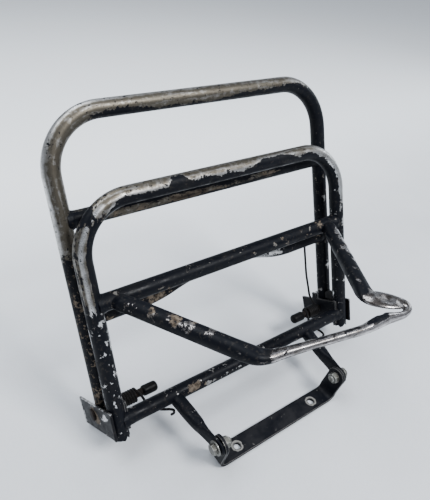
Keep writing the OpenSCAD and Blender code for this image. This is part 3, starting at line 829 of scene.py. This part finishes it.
# ---------- arms ----------
def build_arm(name, s, node):
    """Arm from the lower cross tube to the pivot bolt, hammered flat at its lower end."""
    eye = np.array([s * 101.9, PIVOT.y, PIVOT.z])
    root = np.array([s * 112.0, HINGE.y / MM + FIXED_Y * math.cos(LEAN) - 1.0,
        HINGE.z / MM - FIXED_Y * math.sin(LEAN) - 2.0])
    neck = np.array([s * 105.4, PIVOT.y + 25.9, PIVOT.z + 1.8])
    away = unit(eye - neck)
    eye_r = 11.5
    stations = [
        (*root, 8.6, 8.6),
        (*(root + (neck - root) * 0.55), 8.5, 8.5),
        (*(root + (neck - root) * 0.85), 9.0, 7.2),
        (*neck, 10.2, 4.6),
        (*(eye - away * 13.0), 11.4, 2.5),
        (*eye, 11.5, 2.5),
    ]
    rows = resample(rounded(stations, 7.0, 8), 1.2)
    tail = np.sin(np.linspace(0, math.pi / 2, 12))[1:] * eye_r
    end = [tuple(eye + away * t) + (math.sqrt(max(eye_r**2 - t * t, 0.3)), 2.5) for t in tail]
    rows = np.vstack([rows, end])
    line = rows[:, :3]
    tangent, side, up = frames(line, (1.0, 0.0, 0.0))
    up = unit(up - tangent * (up * tangent).sum(1, keepdims=True))
    side = unit(np.cross(tangent, up))
    rings = ring_points(line, side, up, rows[:, 3], rows[:, 4], power=2.6)
    skin(name, rings, "frame", node, "black_paint", place=SHARED, wear=arm_wear, material=CHIPPED)


# ---------- bracket plates ----------
def plate_corners(s):
    """Front top, back top, back bottom and front bottom corner of an outer plate, and its outward normal."""
    splay = math.radians(7.5)
    slope = math.tan(math.radians(10.5))
    pivot = np.array([FIXED_HALF + TUBE_R - 1.6 + 1.5 / math.cos(splay), -46.0, 0.0])
    along = np.array([math.sin(splay), math.cos(splay), 0.0])
    outline = [(0.0, 23.0), (82.0, 23.0 - slope * 82), (77.0, -14.0 - slope * 77), (0.0, -14.0)]
    points = [pivot + along * a + np.array([0.0, 0.0, h]) for a, h in outline]
    mirror = np.array([s, 1.0, 1.0])
    normal = np.array([math.cos(splay), -math.sin(splay), 0.0])
    return [p * mirror for p in points], normal * mirror


def build_plate(name, s, node):
    """Flat plate with rounded edges, dense enough to hold its own wear."""
    corners, normal = plate_corners(s)
    thick, edge = 3.0, 0.5
    c = np.array(corners)

    def spot(a, b):
        return (1 - b) * ((1 - a) * c[0] + a * c[1]) + b * ((1 - a) * c[3] + a * c[2])

    count_a, count_b = 60, 30
    inset_a, inset_b = edge / 82.0, edge / 37.0

    def border(shrink):
        a0, b0 = inset_a * shrink, inset_b * shrink
        a = np.linspace(a0, 1 - a0, count_a + 1)
        b = np.linspace(b0, 1 - b0, count_b + 1)
        loop = [(x, b0) for x in a[:-1]] + [(1 - a0, y) for y in b[:-1]]
        loop += [(x, 1 - b0) for x in a[:0:-1]] + [(a0, y) for y in b[:0:-1]]
        return loop

    points, faces = [], []
    grids = []
    for out in (thick / 2, -thick / 2):
        grid = np.zeros((count_a + 1, count_b + 1), int)
        for i, a in enumerate(np.linspace(inset_a, 1 - inset_a, count_a + 1)):
            for j, b in enumerate(np.linspace(inset_b, 1 - inset_b, count_b + 1)):
                grid[i, j] = len(points)
                points.append(spot(a, b) + normal * out)
        grids.append(grid)
        for i in range(count_a):
            for j in range(count_b):
                quad = (grid[i, j], grid[i + 1, j], grid[i + 1, j + 1], grid[i, j + 1])
                faces.append(quad if out > 0 else quad[::-1])

    def rim(grid):
        loop = list(grid[:-1, 0]) + list(grid[-1, :-1]) + list(grid[:0:-1, -1]) + list(grid[0, :0:-1])
        return loop

    rings = [rim(grids[0])]
    for out in (thick / 2 - edge, -thick / 2 + edge):
        start = len(points)
        points += [spot(a, b) + normal * out for a, b in border(0.0)]
        rings.append(list(range(start, len(points))))
    rings.append(rim(grids[1]))
    for upper, lower in zip(rings, rings[1:]):
        for i in range(len(upper)):
            k = (i + 1) % len(upper)
            faces.append((upper[i], lower[i], lower[k], upper[k]))

    def wear(where, n):
        flat = where - c[0]
        along = flat @ unit(c[1] - c[0])
        down = -(where[:, 2] - np.interp(along, [0, 82], [c[0][2], c[1][2]]))
        to_edge = np.minimum(np.minimum(along, 80 - along), np.minimum(down, 37 - down))
        bare = 0.08 + 0.50 * (1 - smooth(to_edge, 0.2, 1.6))
        worn_corner = 1 - smooth(np.hypot((along - 20) / 13.0, (down - 11 - 0.3 * (along - 20)) / 6.0), 0.2, 1.3)
        pivot_stain = 1 - smooth(np.hypot(along - 46.4, where[:, 2]), 9.0, 14.0)
        bare = np.maximum(bare, 0.62 * worn_corner)
        tone = 0.6 + 0.4 * worn_corner
        return {"wear": np.maximum(bare, 0.62 * pivot_stain), "tone": tone, "rust": np.maximum(0.15, pivot_stain)}

    piece(name, np.array(points), faces, "frame", node, wear=wear, material=PLATE, sharp=50)


# ---------- hinge hardware ----------
def build_hinge_parts(side_name, s):
    pin = [(0, 0.5), (0, 6.6), (0.7, 7.3), (2.6, 7.5), (3.6, 6.9), (4.0, 5.5), (4.4, 2.0), (4.4, 0.5)]
    spindle = [(0.0, 4.2), (1.0, 5.0), (70.0, 5.0), (70.6, 4.6)]
    lathe(side_name + "_pin_head", pin, (s * PIN_HEAD_X, 0, 0), (s, 0, 0), "frame", slot="pin_steel", material=PIN,
        node=side_name + "_hinge_pin")
    lathe(side_name + "_pin_spindle", spindle, (s * SPINDLE_X, 0, 0), (s, 0, 0), "frame", slot="pin_steel",
        material=PIN)
    cap = [(0, 0.4), (0.0, 2.5), (0.5, 4.6), (1.6, 6.1), (3.4, 6.9), (6.0, 7.0), (17.5, 7.0), (19.6, 6.8),
        (20.6, 6.0), (21.0, 5.1)]
    lathe(side_name + "_cap", cap, (s * CAP_X, 0, 0), (s, 0, 0), "frame", slot="black_cap", material=CAP,
        node=side_name + "_pin_cap")


def build_spring(side_name, s):
    """Round wire: six close turns round the pin, a long arm up behind the rear crossbar, and a hook that differs left and right."""
    turns, pitch, mean_r, wire_r, start_u = 6.0, 3.36, 7.7, 1.7, 149.3
    angle = np.linspace(0, turns * 2 * math.pi, int(turns * 36))
    phase = math.radians(100)
    coil = [(start_u + a / (2 * math.pi) * pitch, -mean_r * math.cos(a + phase),
        mean_r * math.sin(a + phase)) for a in angle]
    end_u = start_u + turns * pitch
    hook = [(119.5, -30.5, -29.0), (116.8, -34.5, -26.0), (116.4, -36.5, -19.5), (122.5, -35.5, -16.0),
        (131, -31, -14.6)]
    if s > 0:
        hook = [(138.0, -38.5, -23.0), (139.5, -42.5, -22.0), (143.0, -42.5, -18.0), (143.0, -34.0, -14.8)]
    foot = hook + [(141, -14, -13.6), (144.5, -8.5, 1.0)]
    arm = [(end_u - 1.5, 10.0, 20.0), (164.6, 11.4, 60.0), (164.0, 11.4, 122.0), (163.6, 11.0, 126.0)]
    lead_in = rounded(foot + [coil[0]], 5.0, 8)
    lead_out = rounded([coil[-1]] + arm, 6.0, 8)
    line = resample(np.vstack([lead_in, coil[1:-1], lead_out]), 0.9)
    smooth_line = line.copy()
    smooth_line[1:-1] = (line[:-2] + 2 * line[1:-1] + line[2:]) / 4
    line = smooth_line * np.array([s, 1.0, 1.0])
    _, side, up = frames(line)
    end_round = np.ones(len(line))
    end_round[[0, -1]] = 0.55
    rings = ring_points(line, side, up, wire_r * end_round, wire_r * end_round, 14)
    skin(side_name + "_spring_wire", rings, "frame", side_name + "_torsion_spring", "spring_steel", material=WIRE)


def build_pad(side_name, s):
    """Small rubber rest with rounded edges between the two legs."""
    low, high = np.array([FIXED_HALF - 6, -27.0, 18.0]), np.array([FIXED_HALF + 6, -10.4, 30.0])
    centre, half = (low + high) / 2, (high - low) / 2
    centre[0] *= s
    line = centre + np.array([[0.0, y, 0.0] for y in (-half[1], -half[1] + 1.0, half[1] - 1.0, half[1])])
    _, side, up = frames(line, (0.0, 0.0, 1.0))
    rings = ring_points(line, side, up, np.array([5.0, 6.0, 6.0, 5.0]), np.array([5.0, 6.0, 6.0, 5.0]), 40, power=5.0)
    skin(side_name + "_rest_block", rings, "frame", side_name + "_rest_pad", "black_rubber", material=RUBBER)


# ---------- pivot bolts ----------
def build_pivot(side_name, s):
    axis = (s, 0.0, 0.0)
    y, z = PIVOT.y, PIVOT.z
    common = {"place": SHARED, "slot": "fastener_zinc", "material": ZINC}
    washer = [(0, 4.2), (0, 9.0), (0.3, 9.5), (1.3, 9.5), (1.6, 9.1), (1.6, 4.2)]
    lathe(side_name + "_washer", washer, (s * WASHER_X, y, z), axis, "mount", node=side_name + "_bolt_washer",
        **common)
    hexagon(side_name + "_bolt_head", (s * BOLT_HEAD_X, y, z), axis, 6.1, 4.9, "mount",
        node=side_name + "_mount_bolt", **common)
    thread = [(0, 2.6), (0.8, 3.6)]
    for i in range(7):
        thread += [(1.2 + i * 1.25, 4.0), (1.8 + i * 1.25, 3.45)]
    thread += [(12.0, 3.9), (24.0, 3.9)]
    lathe(side_name + "_bolt_thread", thread, (s * THREAD_X, y, z), axis, "mount", sides=28, **common)
    hexagon(side_name + "_nut", (s * NUT_X, y, z), (-s, 0.0, 0.0), 6.5, 7.5, "mount", hole=4.3,
        node=side_name + "_mount_nut", **common)


def dress_cad_nodes():
    """Puts the finish on the CAD nodes whose shape is right."""
    finishes = {"mount_strip": STRIP, "left_inner_plate": BLACK, "right_inner_plate": BLACK}
    for name, material in finishes.items():
        node = frame["nodes"][name]
        node.data.materials.clear()
        node.data.materials.append(material)


# ---------- the picture ----------
def build_floor():
    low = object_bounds()[0]
    size = 9.0
    mesh = bpy.data.meshes.new("floor")
    mesh.from_pydata([(-size, -size, 0), (size, -size, 0), (size, size, 0), (-size, size, 0)], [], [(0, 1, 2, 3)])
    floor = bpy.data.objects.new("floor", mesh)
    floor.location.z = low.z - 0.0004
    bpy.context.scene.collection.objects.link(floor)
    mesh.materials.append(floor_paint())


def area_light(name, place, target, size, power, colour=(1, 1, 1)):
    light = bpy.data.lights.new(name, "AREA")
    light.shape = "RECTANGLE"
    light.size, light.size_y = size
    light.energy = power
    light.color = colour
    obj = bpy.data.objects.new(name, light)
    obj.location = place
    obj.rotation_euler = (Vector(target) - Vector(place)).to_track_quat("-Z", "Y").to_euler()
    bpy.context.scene.collection.objects.link(obj)


def build_lights():
    world = bpy.data.worlds.new("studio")
    bpy.context.scene.world = world
    world.use_nodes = True
    background = world.node_tree.nodes["Background"]
    background.inputs["Color"].default_value = (0.80, 0.86, 0.95, 1)
    background.inputs["Strength"].default_value = 0.6
    area_light("window", (0.7, -1.5, 2.3), (0, 0.1, 0.15), (0.9, 0.9), 105, (0.97, 0.985, 1.0))
    area_light("sky", (-0.6, 0.9, 2.4), (0, 0.1, 0.1), (2.2, 1.6), 75, (0.92, 0.96, 1.0))
    area_light("side", (2.2, 0.2, 1.0), (0, 0.1, 0.2), (0.5, 1.4), 14, (0.86, 0.93, 1.0))


def build_camera():
    camera = bpy.data.cameras.new("camera")
    camera.lens = 33.73
    obj = bpy.data.objects.new("camera", camera)
    obj.location = (-0.3143, -0.2373, 0.5373)
    obj.rotation_euler = tuple(math.radians(a) for a in (54.833, -4.579, -34.737))
    bpy.context.scene.collection.objects.link(obj)
    bpy.context.scene.camera = obj


build_camera()
build_folding_hoop()
build_fixed_hoop()
build_crossbars()
build_front_loop()
for label, sign in (("left", -1), ("right", 1)):
    build_arm(label + "_arm_bar", sign, label + "_arm")
    build_plate(label + "_bracket_plate", sign, label + "_outer_plate")
    build_hinge_parts(label, sign)
    build_spring(label, sign)
    build_pad(label, sign)
    build_pivot(label, sign)
dress_cad_nodes()
build_floor()
build_lights()
